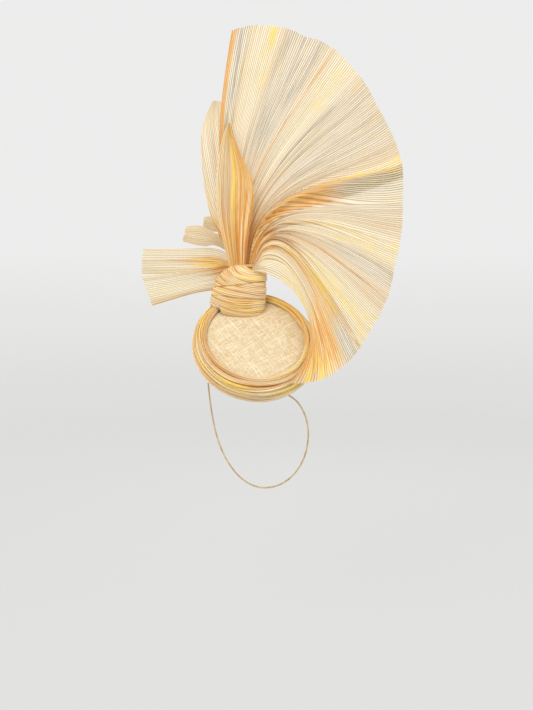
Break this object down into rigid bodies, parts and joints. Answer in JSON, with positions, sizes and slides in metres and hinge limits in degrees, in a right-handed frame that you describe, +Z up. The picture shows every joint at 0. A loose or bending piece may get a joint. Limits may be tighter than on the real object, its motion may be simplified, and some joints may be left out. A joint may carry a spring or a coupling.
{
  "type": "fascinator headpiece",
  "caption": "Fascinator of ribbed silk abaca: a tall side fan gathered into a wrapped knot on a round swathed sinamay base, held on the head by an elastic loop.",
  "frame": {"origin": "centre of the base's underside plane, on the foot of the edge binding where the hat sits on the head", "axes": "as worn and as seen from in front: +Z up, +X to the viewer's right, +Y away from the viewer; the base's underside faces down and back"},
  "size_m": [0.3411, 0.1251, 0.6081],
  "materials": {
    "sinamay": "open crosshatch weave, stiffened, matt",
    "lining": "plain cotton lawn, matt",
    "petersham": "fine ribbed ribbon, matt",
    "wire": "cotton-covered millinery wire",
    "binding": "bias strip, folded",
    "swathe_cloth": "folded ribbed cloth with a soft metallic gleam",
    "knot_cloth": "folded ribbed cloth with a soft metallic gleam",
    "silk_abaca": "sheer ribbed silk abaca, crimped, with gold and silver-grey threads",
    "thread": "waxed sewing thread",
    "elastic": "round covered hat elastic, matt"
  },
  "bodies": {
    "headpiece": {"base_crown": "sinamay", "base_lining": "lining", "head_ribbon": "petersham", "edge_wire": "wire", "edge_binding": "binding", "swathe_strand_1": "swathe_cloth", "swathe_strand_2": "swathe_cloth", "swathe_strand_3": "swathe_cloth", "swathe_strand_4": "swathe_cloth", "swathe_strand_5": "swathe_cloth", "swathe_strand_6": "swathe_cloth", "knot_core": "knot_cloth", "knot_wrap_lower": "knot_cloth", "knot_wrap_middle": "knot_cloth", "knot_wrap_upper": "knot_cloth", "stem_thread": "thread", "fan_main": "silk_abaca", "fan_throat_fold": "silk_abaca", "fan_back_lobe": "silk_abaca", "tail_front": "silk_abaca", "tail_back": "silk_abaca", "loop_front": "silk_abaca", "loop_back": "silk_abaca", "fan_tack_stitches": "thread", "elastic_shanks": "thread"},
    "elastic": {"elastic_cord": "elastic", "elastic_knots": "elastic"}
  },
  "joints": [
    {"name": "elastic_swing", "type": "hinge", "parent": "headpiece", "child": "elastic", "pos_m": [0.035, -0.0318, -0.0405], "axis": [-0.783, 0.3017, 0.544], "range_deg": [-45, 35]}
  ]
}
